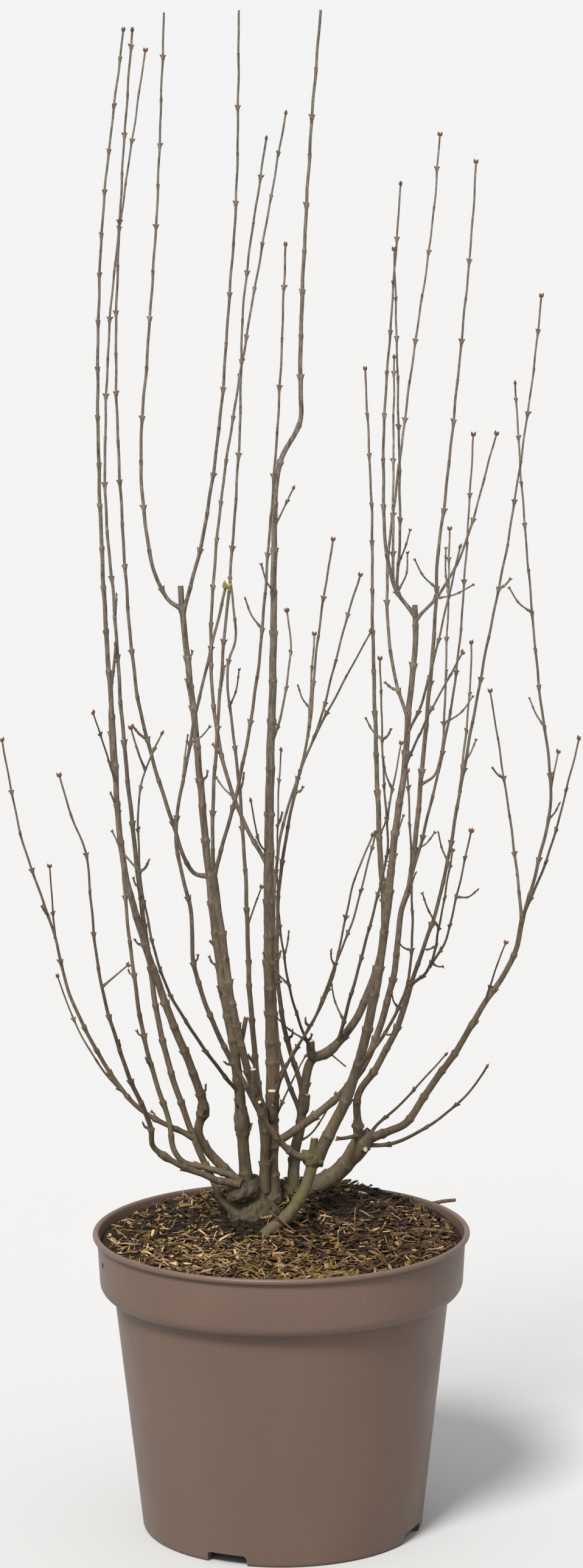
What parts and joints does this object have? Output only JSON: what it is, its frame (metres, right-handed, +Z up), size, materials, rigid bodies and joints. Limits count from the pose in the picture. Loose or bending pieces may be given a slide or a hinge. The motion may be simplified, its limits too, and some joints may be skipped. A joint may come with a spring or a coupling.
{
  "type": "potted lilac shrub",
  "caption": "Upright many-stemmed lilac shrub in winter, leafless with opposite buds, growing from a mulched root crown in a round tapered nursery pot with a deep rim.",
  "frame": {"origin": "on the surface that the pot stands on, under the middle of the part's box", "axes": "+Z up along the pot's axis, -Y the front that the picture shows, +X its right"},
  "size_m": [0.4232, 0.2908, 1.1191],
  "materials": {
    "pot_plastic": "moulded, slightly dusty",
    "potting_mix": "dark moist mix with tan wood fibre on top",
    "old_bark": "dull grey-brown bark with pale lenticels",
    "green_bark": "bark with a film of green algae",
    "young_bark": "smooth olive-brown young bark"
  },
  "bodies": {
    "root": {"pot": "pot_plastic", "soil": "potting_mix", "root_crown": "old_bark", "green_stem": "green_bark", "trunk_left": "old_bark", "trunk_twin": "old_bark", "trunk_middle": "old_bark", "trunk_right": "old_bark", "stem_tall_left": "old_bark", "stem_grey_left": "old_bark", "stem_back": "old_bark", "stem_crossing": "old_bark", "stem_elbow": "old_bark", "stem_centre": "old_bark", "stem_right_back": "old_bark", "stem_right": "old_bark", "stem_inner_right": "old_bark", "bough_outer_left": "old_bark", "bough_low_left": "old_bark", "bough_inner_left": "old_bark", "bough_low_right": "old_bark", "trunk_left_twigs": "young_bark", "trunk_twin_twigs": "young_bark", "trunk_middle_twigs": "young_bark", "stem_tall_left_twigs": "young_bark", "stem_grey_left_twigs": "young_bark", "stem_back_twigs": "young_bark", "stem_crossing_twigs": "young_bark", "stem_elbow_twigs": "young_bark", "stem_centre_twigs": "young_bark", "stem_right_back_twigs": "young_bark", "stem_right_twigs": "young_bark", "stem_inner_right_twigs": "young_bark", "bough_outer_left_twigs": "young_bark", "bough_low_left_twigs": "young_bark", "bough_inner_left_twigs": "young_bark", "bough_low_right_twigs": "young_bark", "leader_left": "young_bark", "spray_front_left": "young_bark", "spray_bowed": "young_bark", "spray_inner": "young_bark", "spray_back_centre": "young_bark", "spray_thin": "young_bark", "spray_elbow": "young_bark", "spray_front_right": "young_bark", "spray_low_back": "young_bark", "spray_low_front": "young_bark", "twig_straight": "young_bark", "twig_elbow": "young_bark", "twig_link": "young_bark", "twig_low_right": "young_bark", "twig_outer_left": "young_bark"}
  },
  "joints": []
}
